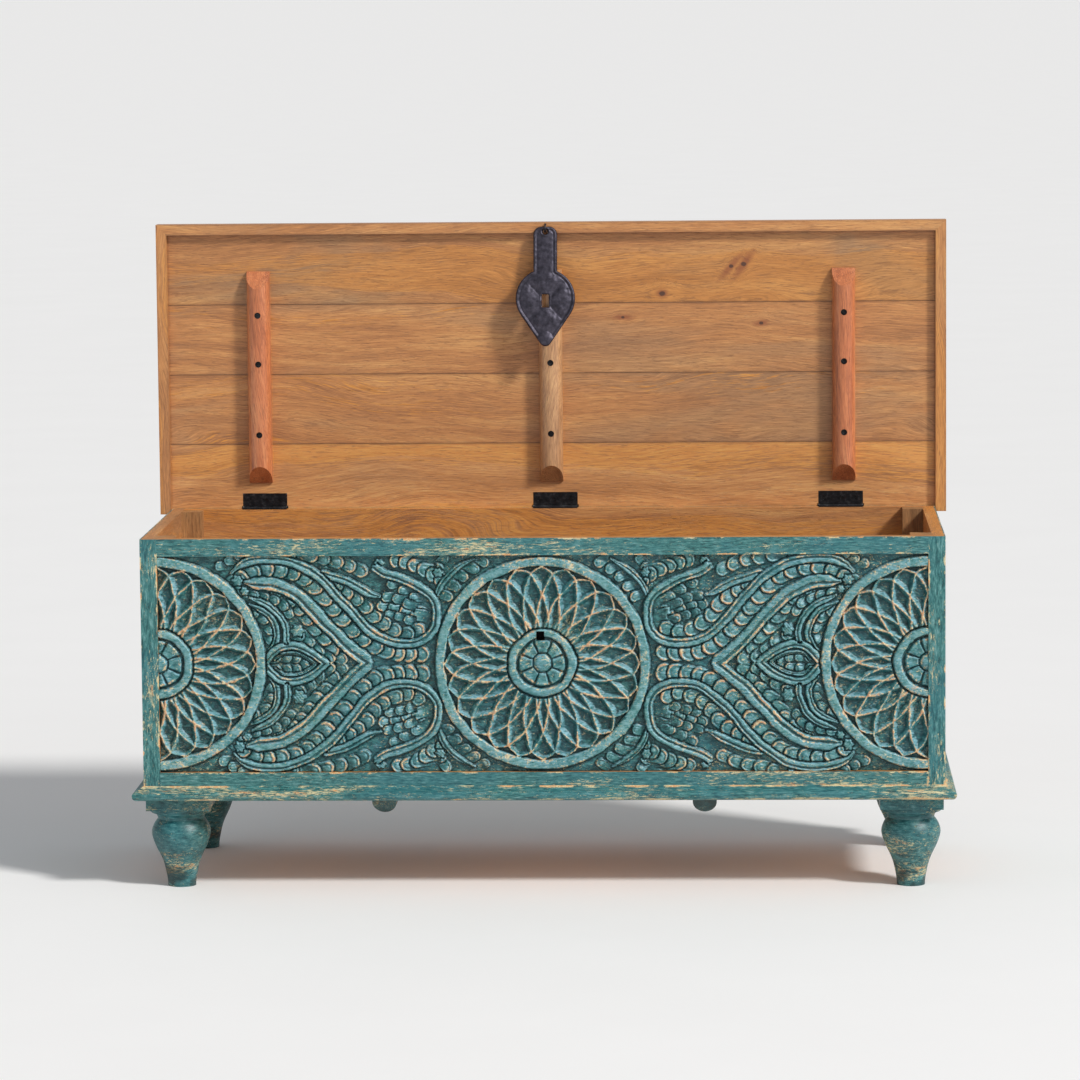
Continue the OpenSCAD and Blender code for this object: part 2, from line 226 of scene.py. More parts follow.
def oval(t, at, size, lean, stretch):
    """Ragged distance from a place on the X-Z face, in sizes, and the height above that place."""
    x, _, z = t.split(t.place)
    dx, dz = t.minus(x, at[0]), t.minus(z, at[1])
    c, s = math.cos(math.radians(lean)), math.sin(math.radians(lean))
    long = t.plus(t.times(dx, c / stretch), t.times(dz, s / stretch))
    wide = t.minus(t.times(dz, c), t.times(dx, s))
    reach = t.math("SQRT", t.plus(t.times(long, long), t.times(wide, wide)))
    ragged = t.plus(0.6, t.times(t.noise(t.place, 160.0, 4.0, 0.7), 0.8))
    return t.times(t.math("DIVIDE", reach, size), ragged), dz


def wood_network(t, grain, seed, tones, orange=0.5, grey=0.5, knots=()):
    """Colour, roughness and height of bare wood whose grain runs along one axis and parts round its knots."""
    parts = t.split(t.place)
    along, across, deep = (parts[i] for i in GRAIN_ORDER[grain])
    for at, size, lean, stretch in knots:
        reach, dz = oval(t, at, size * 6, lean, 1.6)
        spread = t.times(t.flip(t.step(reach, 0.0, 1.0)), 0.85)
        across = t.minus(across, t.times(dz, spread))
    shift = (seed * 1.7, seed * 0.83, seed * 0.37)
    flow = t.scaled(t.join(along, across, deep), (1, 1, 1), shift)
    wander = t.noise(t.scaled(flow, (1.8, 5.5, 5.5)), 1.0, 2.0)
    bent = t.plus(across, t.swing(wander, 0.16))
    figure = t.scaled(t.join(t.times(along, 0.08), bent, deep), (1, 1, 1), shift)
    bands = t.noise(figure, 34.0, 6.0, 0.66, 0.2)
    lines = t.noise(figure, 210.0, 4.0, 0.65)
    fine = t.noise(t.scaled(t.join(t.times(along, 0.03), bent, deep), (1, 1, 1), shift), 820.0, 3.0, 0.7)
    fibre = t.noise(t.scaled(flow, (40, 900, 900)), 1.0, 3.0, 0.75)
    pores = t.step(t.noise(t.scaled(flow, (75, 1100, 1100)), 1.0, 1.0), 0.62, 0.70)
    zone = t.noise(t.scaled(figure, (0.35, 1, 1)), 11.0, 3.0, 0.5, 0.4)
    patch = t.noise(t.scaled(flow, (2.2, 8, 8), (3, 1, 7)), 1.0, 4.0, 0.6, 0.6)
    ragged = t.plus(t.swing(fine, 0.22), t.swing(lines, 0.26))
    shades = (0.32, tones["dark"]), (0.50, tones["mid"]), (0.66, tones["pale"])
    colour = t.ramp(t.plus(bands, ragged), *shades)
    colour = t.mix(t.times(t.step(patch, 0.46, 0.64), grey), colour, tones["grey"])
    streak = t.step(t.plus(zone, ragged), 0.545, 0.585)
    colour = t.mix(t.times(streak, orange), colour, tones["orange"])
    veins = t.step(t.plus(lines, t.times(ragged, 0.5)), 0.57, 0.66)
    colour = t.mix(t.times(veins, 0.40), colour, tones["line"])
    colour = t.mix(0.55, colour, t.ramp(fine, *FINE_SHADES), "OVERLAY")
    colour = t.mix(0.40, colour, t.ramp(fibre, *FIBRE_SHADES), "OVERLAY")
    colour = t.mix(t.times(pores, 0.50), colour, tones["line"])
    for at, size, lean, stretch in knots:
        stain, _ = oval(t, at, size * 2.4, lean, stretch)
        core, _ = oval(t, at, size, 0, 1.3)
        colour = t.mix(t.times(t.flip(t.step(stain, 0.2, 1.0)), 0.75), colour, KNOT_STAIN)
        colour = t.mix(t.times(t.flip(t.step(core, 0.6, 1.0)), 0.9), colour, KNOT_CORE)
    rough = t.plus(0.40, t.times(fibre, 0.22))
    height = t.minus(t.times(fine, 0.6), t.times(pores, 0.8))
    return colour, rough, height


def wood(name, grain, seed, tones=MANGO, orange=0.5, grey=0.5, knots=(), gloss=0.0, box=None, grime=0.5):
    """Bare waxed wood, darker along the edges of its box where one is given."""
    t = Tree(name)
    colour, rough, height = wood_network(t, grain, seed, tones, orange, grey, knots)
    if box is not None:
        edge = t.plus(edge_distance(t, *box), t.times(t.noise(t.place, 60.0, 4.0), 0.004))
        colour = t.mix(t.times(t.flip(t.step(edge, 0.0012, 0.0060)), grime), colour, tones["line"])
    t.bump(height, 0.00022)
    return t.finish(colour, t.minus(rough, gloss), Coat_Weight=0.08 + 2 * gloss, Coat_Roughness=0.25)


# ---- Distressed paint ----

TEAL_DEEP = srgb(14, 62, 64)
TEAL = srgb(44, 105, 105)
TEAL_MID = srgb(70, 127, 125)
TEAL_BLUE = srgb(36, 108, 124)
TEAL_LIGHT = srgb(116, 160, 160)
# Sky blue, for the painted highlights on the carving
SKY_HIGHLIGHT = srgb(136, 184, 198)
CREAM = srgb(226, 212, 164)
BARE = srgb(212, 144, 88)
# Near-black teal: painted shade in the carving's grooves and under the body, and grime on feet and mouldings
GRIME_AND_SHADE = srgb(10, 34, 34)
# How much finer the strokes of the brush are along X, Y and Z, by the way they run or the kind of work
STROKES = {"x": (1, 5, 6), "y": (6, 1, 6), "z": (5, 5, 1), "round": (1.6, 1.6, 5), "carved": (1.6, 3, 3)}


def paint_network(t, strokes, wear, seed, raised=0.5, patchy=0.62):
    """Colour, roughness and height of teal paint rubbed back to cream undercoat and wood.
    wear is 0 in the flat and towards 1 on edges, raised is 0 in hollows and 1 on high places,
    and patchy is how far the rubbing differs from place to place."""
    flow = t.scaled(t.place, STROKES[strokes], (seed * 0.31, seed * 0.17, seed * 0.53))
    tone = t.noise(t.place, 7.0, 5.0, 0.6)
    brush = t.noise(flow, 60.0, 6.0, 0.78, 0.2)
    fleck = t.noise(flow, 88.0, 5.0, 0.80, 0.3)
    worn = t.noise(t.scaled(flow, (1, 1, 1), (5, 3, 9)), 30.0, 7.0, 0.78, 0.5)
    patch = t.noise(t.scaled(flow, (0.4, 0.4, 0.4), (2, 8, 4)), 16.0, 4.0, 0.6)
    spots = t.noise(t.place, 520.0, 3.0, 0.75)
    # Painted highlight and shade: raised places lifted towards the lighter teals, hollows towards the deep
    # teal
    lift = t.plus(brush, t.swing(raised, 0.16))
    colour = t.ramp(lift, (0.38, TEAL_DEEP), (0.47, TEAL), (0.55, TEAL_MID), (0.66, TEAL_LIGHT))
    colour = t.mix(t.times(t.step(tone, 0.42, 0.60), 0.30), colour, TEAL_BLUE)
    rubbed = t.plus(t.times(wear, 0.26), t.swing(patch, patchy))
    cream = t.step(t.plus(fleck, rubbed), 0.585, 0.635)
    bare = t.step(t.plus(worn, rubbed), 0.655, 0.705)
    dots = t.step(t.plus(spots, t.times(rubbed, 0.5)), 0.640, 0.700)
    colour = t.mix(t.times(cream, 0.80), colour, CREAM)
    colour = t.mix(t.times(bare, 0.88), colour, t.mix(t.step(spots, 0.50, 0.62), BARE, CREAM))
    colour = t.mix(t.times(dots, 0.7), colour, CREAM)
    rough = t.plus(0.42, t.times(t.larger(cream, bare), 0.25))
    height = t.plus(t.times(brush, 0.5), t.times(spots, 0.25))
    height = t.minus(height, t.times(t.larger(cream, bare), 0.5))
    return colour, rough, height


def outside_gap(t):
    """How far in a place lies from the nearest outside wall face of the body, in metres."""
    x, y, _ = t.split(t.place)
    side = t.minus(WALL_X, t.size(x))
    front = t.minus(y, FRONT_Y)
    back = t.minus(BACK_Y, y)
    return t.smaller(side, t.smaller(front, back))


def painted_board(name, strokes, grain, seed, low, high):
    """A board of the body: paint outside, bare wood inside and on the rim, with a ragged line between."""
    t = Tree(name)
    edge = edge_distance(t, low, high)
    rub = t.noise(t.place, 24.0, 5.0, 0.65)
    wear = t.times(t.flip(t.step(edge, 0.0, 0.004)), t.step(rub, 0.48, 0.62))
    paint, paint_rough, paint_height = paint_network(t, strokes, wear, seed)
    bare, bare_rough, bare_height = wood_network(t, grain, seed, MANGO)
    gap = t.plus(outside_gap(t), t.swing(t.noise(t.place, 120.0), 0.004))
    inside = t.step(gap, 0.0012, 0.0020)
    colour = t.mix(inside, paint, bare)
    rough = t.plus(t.times(paint_rough, t.flip(inside)), t.times(bare_rough, inside))
    t.bump(t.plus(paint_height, bare_height), 0.0003)
    return t.finish(colour, rough)


def painted(name, strokes, seed, low=None, high=None, wear=0.25, shade=0.0, foot=False):
    """Paint all over, worn at the edges of its box where one is given, and darker lower down on a foot."""
    t = Tree(name)
    rub = wear
    if low is not None:
        edge = t.flip(t.step(edge_distance(t, low, high), 0.0, 0.006))
        rub = t.larger(wear, t.times(edge, t.step(t.noise(t.place, 24.0, 5.0), 0.42, 0.60)))
    colour, rough, height = paint_network(t, strokes, rub, seed)
    # Dark blotches towards the near-black teal, as strong as shade asks; at the bearers' high shade this is
    # painted shade
    dark = t.times(t.step(t.noise(t.place, 18.0, 5.0, 0.65), 0.52 - 0.4 * shade, 0.62), shade)
    if foot:
        _, _, z = t.split(t.place)
        low_down = t.flip(t.step(z, 0.02, 0.085))
        blotch = t.step(t.noise(t.scaled(t.place, (1, 1, 2.5)), 26.0, 5.0), 0.44, 0.58)
        dark = t.larger(dark, t.times(blotch, t.times(low_down, 0.75)))
    colour = t.mix(dark, colour, GRIME_AND_SHADE)
    t.bump(height, 0.0004)
    return t.finish(colour, rough)


def carved_paint(name):
    """Paint on the carving: rubbed through on its lips and edges, with painted shade darkening its grooves,
    a painted sky-blue sheen on raised places, painted highlights and shade on facets by how they face up and
    right, and painted shade black in the mortise."""
    t = Tree(name)
    ridge, groove_shade, raised = t.attribute("ridge"), t.attribute("groove_shade"), t.attribute("raised")
    light_facing = t.attribute("light_facing")
    colour, rough, height = paint_network(t, "carved", 0.0, 2, raised, 0.30)
    broad = t.noise(t.place, 55.0, 5.0, 0.7)
    crumb = t.noise(t.place, 260.0, 4.0, 0.75)
    grain = t.noise(t.scaled(t.place, (1, 1, 4)), 110.0, 4.0, 0.7)
    uneven = t.plus(t.swing(grain, 3.4), t.swing(broad, 2.2))
    # Painted highlight: a sky-blue sheen laid over the raised places, broken up by noise
    painted_sheen = t.plus(t.times(raised, 0.45), uneven)
    colour = t.mix(t.times(t.step(painted_sheen, 0.25, 0.95), 0.55), colour, SKY_HIGHLIGHT)
    # Painted highlight: sky blue on the facets that face up and right, broken up by the grain noise
    painted_highlight = t.times(t.step(light_facing, 0.58, 0.90), t.times(t.step(grain, 0.36, 0.60), 0.75))
    colour = t.mix(painted_highlight, colour, SKY_HIGHLIGHT)
    # Painted shade: deep teal on the facets turned away from up and right
    colour = t.mix(t.times(t.flip(t.step(light_facing, 0.12, 0.42)), 0.50), colour, TEAL_DEEP)
    mixed = t.plus(t.swing(broad, 2.0), t.swing(crumb, 1.7))
    rub = t.step(t.plus(ridge, mixed), 0.40, 0.62)
    colour = t.mix(t.times(rub, 0.80), colour, t.mix(t.step(crumb, 0.46, 0.62), BARE, CREAM))
    # Painted shade: the grooves and the deep ground darkened towards the near-black teal
    colour = t.mix(t.times(groove_shade, 0.66), colour, GRIME_AND_SHADE)
    bare, _, _ = wood_network(t, "x", 21, MANGO)
    x, y, z = t.split(t.place)
    behind = t.step(y, panel_low.y + 13 * mm, panel_low.y + 14 * mm)
    colour = t.mix(behind, colour, bare)
    # Painted shade: the walls of the lock mortise are painted near-black
    beside = t.minus(t.size(t.minus(x, MORTISE_X)), MORTISE_W / 2)
    above = t.minus(t.size(t.minus(z, MORTISE_Z)), MORTISE_H / 2)
    hole = t.flip(t.step(t.larger(beside, above), 0.0, 0.0008))
    t.bump(height, 0.0003)
    return t.finish(t.mix(hole, colour, srgb(8, 8, 8)), rough)


# ---- Iron ----


def iron(name, base, light, low=None, high=None, rough=0.46, pits=0.0004):
    """Blackened iron, rubbed bright along the edges of its box where one is given."""
    t = Tree(name)
    mottle = t.noise(t.place, 130.0, 5.0, 0.65)
    fine = t.noise(t.place, 900.0, 3.0, 0.6)
    colour = t.ramp(mottle, (0.32, tuple(0.5 * c for c in base[:3]) + (1,)), (0.52, base), (0.74, light))
    if low is not None:
        rub = t.flip(t.step(edge_distance(t, low, high), 0.0004, 0.0022))
        rub = t.times(rub, t.step(t.noise(t.place, 260.0), 0.38, 0.60))
        colour = t.mix(rub, colour, srgb(150, 148, 146))
    t.bump(t.plus(mottle, t.times(fine, 0.4)), pits)
    return t.finish(colour, t.plus(rough - 0.1, t.times(mottle, 0.24)), Metallic=0.75)


def dress(name, material):
    mesh = nodes[name].data
    mesh.materials.clear()
    mesh.materials.append(material)


def round_edges(name, width, segments=2):
    """Rounds the sharp edges of a CAD node where it stands."""
    piece = nodes[name]
    bevel = piece.modifiers.new("rounded_edges", "BEVEL")
    bevel.width = width
    bevel.segments = segments
    bevel.limit_method = "ANGLE"
    bevel.angle_limit = math.radians(40)
    bevel.harden_normals = True


# ---- Carving: one quarter of the panel is worked out in millimetres, U across and V up ----

CELL = 0.7                  # pitch of the quarter's grid
RELIEF = 8.5                # height of the highest carving over its ground
ROSETTE_R = 156.0
PETALS = 24
SIDE_ROSETTE = 558.0        # distance from the middle rosette to the ones at the ends
QUARTER_V = 160.0

# Routes of the stems of the vine, from where they leave a rosette or the middle line
OUTER_STEM = [(450, 132), (440, 142), (422, 150), (400, 153), (378, 152), (358, 147), (338, 137), (318, 122),
              (300, 103), (280, 81), (260, 58), (240, 41), (222, 32), (200, 29), (182, 31), (166, 39),
              (155, 53), (152, 70), (155, 88), (166, 104), (186, 117), (208, 126), (230, 133), (244, 143)]
S_STEM = [(247, -2), (262, 9), (285, 29), (306, 50), (326, 72), (346, 93), (366, 107), (390, 117), (430, 119)]
SPADE = [(312, -2), (322, 7), (335, 17), (350, 24), (366, 27), (381, 24), (393, 14), (402, 3)]
SPADE_INNER = [(329, 0), (340, 8), (352, 14), (366, 16), (380, 14), (390, 5)]
C_STEM = [(372, 31), (371, 45), (375, 60), (384, 74), (399, 87), (424, 98)]
C_INNER = [(402, 12), (391, 24), (385, 38), (386, 52), (391, 65), (402, 77), (426, 88)]
INNER_STEM = [(322, 132), (300, 126), (280, 119), (262, 110), (247, 102), (236, 99)]
RING_STEM = [(152, 94), (147, 110), (136, 126), (120, 140), (100, 152)]

# Rows of gouged leaves: route of their round ends, how many, their width, and how far they lean off the route
LEAF_ROWS = [
    ([(136, 158), (146, 146), (150, 130)], 3, 16, 0),
    ([(222, 150), (206, 147), (192, 143), (180, 138), (168, 132), (155, 124)], 6, 22, -12),
    ([(474, 143), (462, 150), (446, 158)], 3, 15, 30),
    ([(340, 158), (356, 158)], 2, 14, 0),
    ([(252, 131), (268, 139), (285, 146), (303, 150), (324, 155)], 5, 20, 0),
    ([(225, 114), (207, 104), (192, 97), (184, 80)], 4, 15, -40),
    ([(240, 86), (225, 84), (208, 79), (190, 74)], 4, 18, 0),
    ([(234, 98), (218, 96), (202, 90)], 3, 14, 0),
    ([(230, 73), (215, 70), (200, 66)], 3, 13, 0),
    ([(172, 56), (187, 48), (204, 48), (220, 54), (236, 63), (247, 76), (258, 87), (272, 98), (289, 109)],
     9, 21, -6),
    ([(164, 12), (181, 12), (199, 12), (216, 14)], 4, 27, 12),
    ([(232, 20), (248, 31), (264, 44), (277, 58), (290, 73), (303, 88), (317, 104), (331, 119), (346, 131),
      (364, 138), (385, 141), (407, 141), (428, 132)], 13, 26, -14),
    ([(282, 4), (296, 14), (306, 30), (318, 42), (330, 56), (342, 72), (354, 86), (370, 98), (388, 105),
      (408, 108), (428, 110)], 11, 20, -10),
    ([(302, 3), (318, 14), (336, 30), (346, 36)], 4, 17, 0),
    ([(364, 68), (369, 80), (380, 90), (394, 97), (410, 101)], 5, 14, -10),
    ([(336, 6), (350, 7), (364, 8), (380, 8)], 4, 14, 0),
    ([(392, 28), (390, 44), (396, 63), (410, 74)], 4, 15, -35),
    ([(78, 143), (93, 132), (107, 120), (118, 107), (128, 94)], 5, 15, 70),
]
# Small round flowers: place and size
FLOWERS = [((355, 48), 11), ((442, 121), 9), ((431, 107), 7), ((150, 132), 8), ((236, 148), 8)]

u_axis = np.arange(0, SIDE_ROSETTE + CELL, CELL)
v_axis = np.arange(0, QUARTER_V + CELL, CELL)
U, V = np.meshgrid(u_axis, v_axis)


def ease(x):
    x = np.clip(x, 0, 1)
    return x * x * (3 - 2 * x)


def bump(x):
    """1 at 0, falling smoothly to 0 at 1 and -1."""
    return ease(1 - np.abs(x))


def smooth_route(points, step):
    """Points a step apart along a smooth curve through the given ones."""
    p = np.array(points, float)
    p = np.vstack([2 * p[0] - p[1], p, 2 * p[-1] - p[-2]])
    t = np.linspace(0, 1, 24, endpoint=False)[:, None]
    curve = [0.5 * (2 * b + (c - a) * t + (2 * a - 5 * b + 4 * c - d) * t ** 2
                    + (3 * b - a - 3 * c + d) * t ** 3)
             for a, b, c, d in zip(p[:-3], p[1:-2], p[2:-1], p[3:])]
    curve = np.vstack(curve + [p[-2:-1]])
    run = np.concatenate([[0], np.cumsum(np.hypot(*np.diff(curve, axis=0).T))])
    at = np.linspace(0, run[-1], max(2, int(run[-1] / step)))
    return np.column_stack([np.interp(at, run, curve[:, 0]), np.interp(at, run, curve[:, 1])])


class Relief:
    """Height of the carving over its ground, and how much each place gets rubbed."""

    def __init__(self):
        self.height = np.zeros(U.shape)
        self.rub = np.zeros(U.shape)

    def window(self, points, reach):
        """The part of the grid within reach of some points."""
        low = points.min(0) - reach
        high = points.max(0) + reach
        i0, i1 = np.searchsorted(u_axis, [low[0], high[0]])
        j0, j1 = np.searchsorted(v_axis, [low[1], high[1]])
        return slice(j0, j1), slice(i0, i1)

    def lay(self, win, cut, inside, height, rub):
        """Clears the ground where cut, then lays a shape where inside."""
        self.height[win] = np.where(inside, height, np.where(cut, -1.0, self.height[win]))
        self.rub[win] = np.where(inside, rub, np.where(cut, 0.0, self.rub[win]))


def nearest(points, win):
    """Distance from each grid point of the window to the route, how far along it, and its side of the route:
    1 is left and -1 is right."""
    best = np.full(U[win].shape, 1e9)
    along = np.zeros(best.shape)
    side = np.ones(best.shape)
    ahead = np.gradient(points, axis=0)
    for k, (pu, pv) in enumerate(points):
        du, dv = U[win] - pu, V[win] - pv
        d = du ** 2 + dv ** 2
        closer = d < best
        best[closer] = d[closer]
        along[closer] = k / (len(points) - 1)
        side[closer] = np.where(ahead[k, 0] * dv - ahead[k, 1] * du > 0, 1.0, -1.0)[closer]
    return np.sqrt(best), along, side


def carve_stem(relief, route, width, top=RELIEF - 0.6, moat=1.9, taper=(0.0, 0.0), broad=1):
    """A stem of two strands in a groove of its own. The broad one is left (1) or right (-1) of its route."""
    points = smooth_route(route, 0.7)
    win = relief.window(points, width)
    d, along, side = nearest(points, win)
    half = width / 2 * np.minimum(1, 0.35 + 0.65 * ease(along / max(taper[0], 1e-6)))
    half = half * np.minimum(1, 0.35 + 0.65 * ease((1 - along) / max(taper[1], 1e-6)))
    x = d / half * side * broad
    profile = np.zeros(x.shape)
    rub = np.zeros(x.shape)
    for centre, reach, height, worn in ((0.44, 0.56, top, 0.58), (-0.68, 0.32, top - 0.8, 0.88)):
        t = np.abs(x - centre) / reach
        strand = (height - 0.9 * t ** 2) * np.sqrt(np.clip((1 - t) / 0.22, 0, 1))
        profile = np.where(t < 1, strand, profile)
        rub = np.where(t < 1, worn * (bump((t - 0.8) / 0.3) if worn < 0.7 else bump(t / 0.75)), rub)
    relief.lay(win, d < half + moat, np.abs(x) < 1, np.maximum(profile, top - 4.2), rub)


def carve_leaf(relief, tip, heading, width):
    """A gouged leaf that rises from its root to a lip round its end. Its root runs under the next leaf."""
    win = relief.window(np.array([tip]), width * 1.4)
    if relief.height[win].size == 0:
        return
    centre = np.array(tip) - heading * width / 2
    a = (U[win] - centre[0]) * heading[0] + (V[win] - centre[1]) * heading[1]
    b = (V[win] - centre[1]) * heading[0] - (U[win] - centre[0]) * heading[1]
    q = np.where(a > 0, np.hypot(a, b), np.abs(b)) / (width / 2)
    back = a > -1.0 * width
    rise = ease((a + 0.70 * width) / (1.0 * width))
    scoop = 0.6 + 6.6 * rise - 2.6 * rise * bump((q - 0.60) / 0.26) - 0.6 * rise * (q < 0.5)
    scoop = scoop * np.sqrt(np.clip((1 - q) / 0.14, 0, 1))
    lip = 0.78 * bump((q - 0.84) / 0.22) * ease((a + 0.25 * width) / (0.3 * width))
    lip = lip + 0.35 * bump((q - 0.36) / 0.14) * rise
    relief.lay(win, (q < 1 + 3.0 / width) & back, (q < 1.0) & back, scoop, lip)


def carve_row(relief, route, count, width, lean=0.0):
    """Leaves along a route, each with its round end on the route and lying over the one before."""
    points = smooth_route(route, 1.0)
    turn = np.radians(lean)
    for stop in np.linspace(0, len(points) - 1, count).astype(int):
        ahead = points[max(stop - 6, 0)] - points[min(stop + 6, len(points) - 1)]
        ahead = ahead / max(np.hypot(*ahead), 1e-6)
        heading = np.array([ahead[0] * np.cos(turn) - ahead[1] * np.sin(turn),
                            ahead[0] * np.sin(turn) + ahead[1] * np.cos(turn)])
        carve_leaf(relief, points[stop], heading, width)


def petal_lines(radius):
    """Angle, in degrees from the tip of its petal, at which a petal's outline stands at a radius."""
    return np.interp(radius, [50, 68, 100.5, 131, 136, 141], [26.5, 22.5, 15, 7.5, 4.6, 0])


def ring_bead(radius, middle, half, soft):
    """A round ring of full height, and the rubbing along its two edges."""
    x = np.abs(radius - middle) / half
    height = RELIEF * (1 - 0.12 * x ** 2) * np.sqrt(np.clip((1 - x) / soft, 0, 1))
    return height, 0.55 * bump((x - 0.85) / 0.22) * (x < 1) + 0.20 * (x < 0.8)


def rosette(centre_u):
    """Height and rubbing of a rosette over its disc, and the disc."""
    radius = np.hypot(U - centre_u, V)
    angle = np.degrees(np.arctan2(V, U - centre_u))
    pitch = 360 / PETALS
    turn = petal_lines(radius)
    slope = np.radians(petal_lines(radius + 0.5) - petal_lines(radius - 0.5)) * radius
    lean = 1 / np.sqrt(1 + slope ** 2)
    gaps = []
    for side in (-1, 1):
        off = (angle - side * turn + pitch / 2) % pitch - pitch / 2
        gaps.append(np.radians(np.abs(off)) * radius * lean)
    gap = np.minimum(*gaps)
    strip = RELIEF - 1.0 - 1.35 * np.clip(gap - 1.3, 0, None) - 1.8 * ease((gap - 0.9) / 0.5)
    off_tip = np.abs((angle + pitch / 2) % pitch - pitch / 2)
    outside = (radius > 142) | ((radius > 131) & (off_tip > turn + 0.9))
    height = np.where(outside, -1.0, np.maximum(strip, -0.6))
    rub = np.where(outside, 0.0, 0.80 * ease((1.8 - gap) / 1.3) + 0.10 * (gap > 2.4))
    petal = np.abs((angle + 22.5) % 45 - 22.5) / 22.5
    flower = 6.4 - 6.4 * bump((petal - 1) / 0.24) - 2.0 * bump((radius - 22) / 9) * (1 - petal)
    flower = flower * np.sqrt(np.clip((34.5 - radius) / 2, 0, 1)) * (radius > 15.3)
    boss = (RELIEF - 0.3) * np.sqrt(np.clip(1 - (radius / 14.2) ** 2.6, 0, 1))
    hub, hub_rub = ring_bead(radius, 43.8, 6.2, 0.2)
    inner = np.maximum(np.maximum(flower, boss), hub)
    inner_rub = np.where(radius > 36, hub_rub, 0.55 * bump((radius - 31) / 4) + 0.5 * bump((radius - 11) / 4))
    height = np.where(radius < 51.0, inner, height)
    rub = np.where(radius < 51.0, inner_rub, rub)
    height = np.where((radius > 50.2) & (radius < 52.4), -1.0, height)
    ring, ring_rub = ring_bead(radius, ROSETTE_R - 7.5, 7.5, 0.14)
    on_ring = np.abs(radius - (ROSETTE_R - 7.5)) < 7.5
    return np.where(on_ring, ring, height), np.where(on_ring, ring_rub, rub), radius < ROSETTE_R + 1.8


def carve_quarter():
    """The relief of one quarter of the carving."""
    relief = Relief()
    for row in LEAF_ROWS:
        carve_row(relief, *row)
    carve_stem(relief, INNER_STEM, 12, taper=(0.05, 0.25))
    carve_stem(relief, C_INNER, 9, top=6.8, taper=(0.1, 0.2))
    carve_stem(relief, SPADE_INNER, 5, top=6.0)
    carve_stem(relief, SPADE, 11.5)
    carve_stem(relief, C_STEM, 9, taper=(0.0, 0.2), broad=-1)
    carve_stem(relief, RING_STEM, 9, top=7.0, taper=(0.2, 0.4))
    for centre, size in FLOWERS:
        carve_flower(relief, centre, size)
    carve_stem(relief, OUTER_STEM, 13, taper=(0.06, 0.0))
    carve_stem(relief, S_STEM, 19, taper=(0.04, 0.08))
    for centre_u in (0.0, SIDE_ROSETTE):
        height, rub, disc = rosette(centre_u)
        relief.lay((slice(None), slice(None)), disc, disc, height, rub)
    return relief


def carve_flower(relief, centre, size):
    """A small domed flower with hatching across it."""
    win = relief.window(np.array([centre]), size + 3)
    r = np.hypot(U[win] - centre[0], V[win] - centre[1])
    lobes = size * (0.88 + 0.12 * np.cos(6 * np.arctan2(V[win] - centre[1], U[win] - centre[0])))
    hatch = np.cos((U[win] + V[win]) * 2 * np.pi / 4.6)
    dome = (6.6 + 0.9 * hatch - 1.2 * (r / lobes) ** 2) * np.sqrt(np.clip((1 - r / lobes) / 0.2, 0, 1))
    relief.lay(win, r < lobes + 1.2, r < lobes, dome, 0.5 * ease(hatch))


def sample(grid, u, v):
    """The quarter's value at any places, mixed from the four grid points round each."""
    x = np.clip(u / CELL, 0, grid.shape[1] - 1.001)
    y = np.clip(v / CELL, 0, grid.shape[0] - 1.001)
    i, j = x.astype(int), y.astype(int)
    fx, fy = x - i, y - j
    low = grid[j, i] * (1 - fx) + grid[j, i + 1] * fx
    high = grid[j + 1, i] * (1 - fx) + grid[j + 1, i + 1] * fx
    return low * (1 - fy) + high * fy


def waver(u, v, seed, size, spread):
    """Smooth wandering of the given size in millimetres, with waves about as long as spread."""
    draw = np.random.RandomState(seed)
    total = np.zeros(np.broadcast(u, v).shape)
    for _ in range(9):
        ku, kv = draw.normal(0, 2 * np.pi / spread, 2)
        total = total + np.sin(ku * u + kv * v + draw.uniform(0, 2 * np.pi))
    return total * size / 3


def blur(grid, reach):
    """Mean over a square of cells, run twice."""
    for _ in range(2):
        for axis in (0, 1):
            padded = np.concatenate([np.repeat(np.take(grid, [0], axis), reach + 1, axis), grid,
                                     np.repeat(np.take(grid, [-1], axis), reach, axis)], axis)
            run = np.cumsum(padded, axis)
            n = grid.shape[axis]
            grid = (np.take(run, range(2 * reach + 1, 2 * reach + 1 + n), axis)
                    - np.take(run, range(0, n), axis)) / (2 * reach + 1)
    return grid


def panel_relief(quarter, u, v):
    """Height and rubbing at places on the whole panel, with the unevenness of hand work."""
    wu = u + waver(u, v, 3, 1.0, 70) + waver(u, v, 5, 0.3, 16)
    wv = v + waver(u, v, 4, 1.0, 70) + waver(u, v, 6, 0.3, 16)
    height = sample(quarter.height, np.abs(wu), np.abs(wv))
    rub = sample(quarter.rub, np.abs(wu), np.abs(wv))
    ground = 1 - ease((height + 1) / 1.6)
    hatch = np.sin((wu * 0.35 + wv + waver(u, v, 7, 3, 45)) * 2 * np.pi / 4.8)
    height = height + ground * 0.5 * hatch
    return height + waver(u, v, 8, 0.25, 60) + waver(u, v, 9, 0.14, 9), rub


# ---- Building meshes ----


def new_piece(name, verts, faces, material, body, smooth=None):
    """A mesh that rides on a body. smooth says, face by face, which are smooth."""
    mesh = bpy.data.meshes.new(name)
    mesh.from_pydata(verts, [], faces)
    mesh.materials.append(material)
    flags = [True] * len(mesh.polygons) if smooth is None else smooth
    mesh.polygons.foreach_set("use_smooth", flags)
    mesh.update()
    piece = bpy.data.objects.new(name, mesh)
    bpy.context.scene.collection.objects.link(piece)
    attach(piece, body)
    return piece


def stops(breaks, pitch):
    """Grid lines at most a pitch apart, with one on each of the breaks."""
    lines = [np.linspace(a, b, max(1, math.ceil((b - a) / pitch - 1e-6)), endpoint=False)
             for a, b in zip(breaks[:-1], breaks[1:])]
    return np.concatenate(lines + [[breaks[-1]]])


# ---- Carved panel ----

